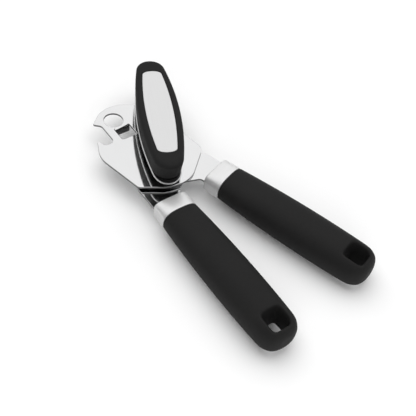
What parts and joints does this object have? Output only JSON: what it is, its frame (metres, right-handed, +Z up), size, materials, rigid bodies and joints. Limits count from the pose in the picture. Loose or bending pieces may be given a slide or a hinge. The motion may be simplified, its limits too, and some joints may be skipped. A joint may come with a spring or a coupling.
{
  "type": "manual can opener",
  "caption": "Hand-held can opener with two soft grips, a long turning knob over a steel nose plate, feed and cutting wheels beneath, and a bottle opener notch.",
  "frame": {"origin": "on the turning axis of the knob, at the flat lower end of its shaft, level with the surface that the opener lies on", "axes": "+Y along the fixed handle towards the nose and its bottle opener, +Z up through the knob, +X to the side of the moving handle"},
  "size_m": [0.1063, 0.2239, 0.0373],
  "materials": {
    "polished_steel": "mirror-polished stainless steel",
    "brushed_steel": "fine brushed satin stainless steel",
    "hardened_steel": "ground and plated hardened steel",
    "soft_black": "matt soft-touch moulding",
    "hard_black": "fine-grained hard moulding",
    "nylon": "smooth nylon"
  },
  "bodies": {
    "fixed_lever": {"head_plate": "polished_steel", "fixed_strip": "polished_steel", "shaft_bush": "hardened_steel", "bush_spacer": "hardened_steel", "pivot_rivet": "polished_steel", "pivot_washer": "hardened_steel", "nose_rivet": "polished_steel", "nose_spacer": "hardened_steel", "grip_b": "soft_black", "core_b": "hard_black", "collar_b": "brushed_steel"},
    "moving_lever": {"moving_strip": "polished_steel", "cutter_stud": "hardened_steel", "grip_a": "soft_black", "core_a": "hard_black", "collar_a": "brushed_steel"},
    "cutter": {"cutting_wheel": "hardened_steel"},
    "drive": {"drive_shaft": "hardened_steel", "feed_wheel": "hardened_steel", "upper_washer": "nylon", "lower_washer": "hardened_steel", "spring_washer": "hardened_steel", "shaft_nut": "polished_steel", "knob_base": "hard_black", "knob_rim": "polished_steel", "knob_cap": "soft_black", "knob_inlay": "brushed_steel", "knob_screw": "hardened_steel"}
  },
  "joints": [
    {"name": "handle_pivot", "type": "hinge", "parent": "fixed_lever", "child": "moving_lever", "pos_m": [-0.0103, -0.022, 0], "axis": [0, 0, 1], "range_deg": [-16, 8]},
    {"name": "cutter_spin", "type": "hinge", "parent": "moving_lever", "child": "cutter", "pos_m": [-0.02156, -0.00234, 0], "axis": [0, 0, 1], "continuous": true},
    {"name": "knob_turn", "type": "hinge", "parent": "fixed_lever", "child": "drive", "pos_m": [0, 0, 0], "axis": [0, 0, 1], "continuous": true}
  ]
}
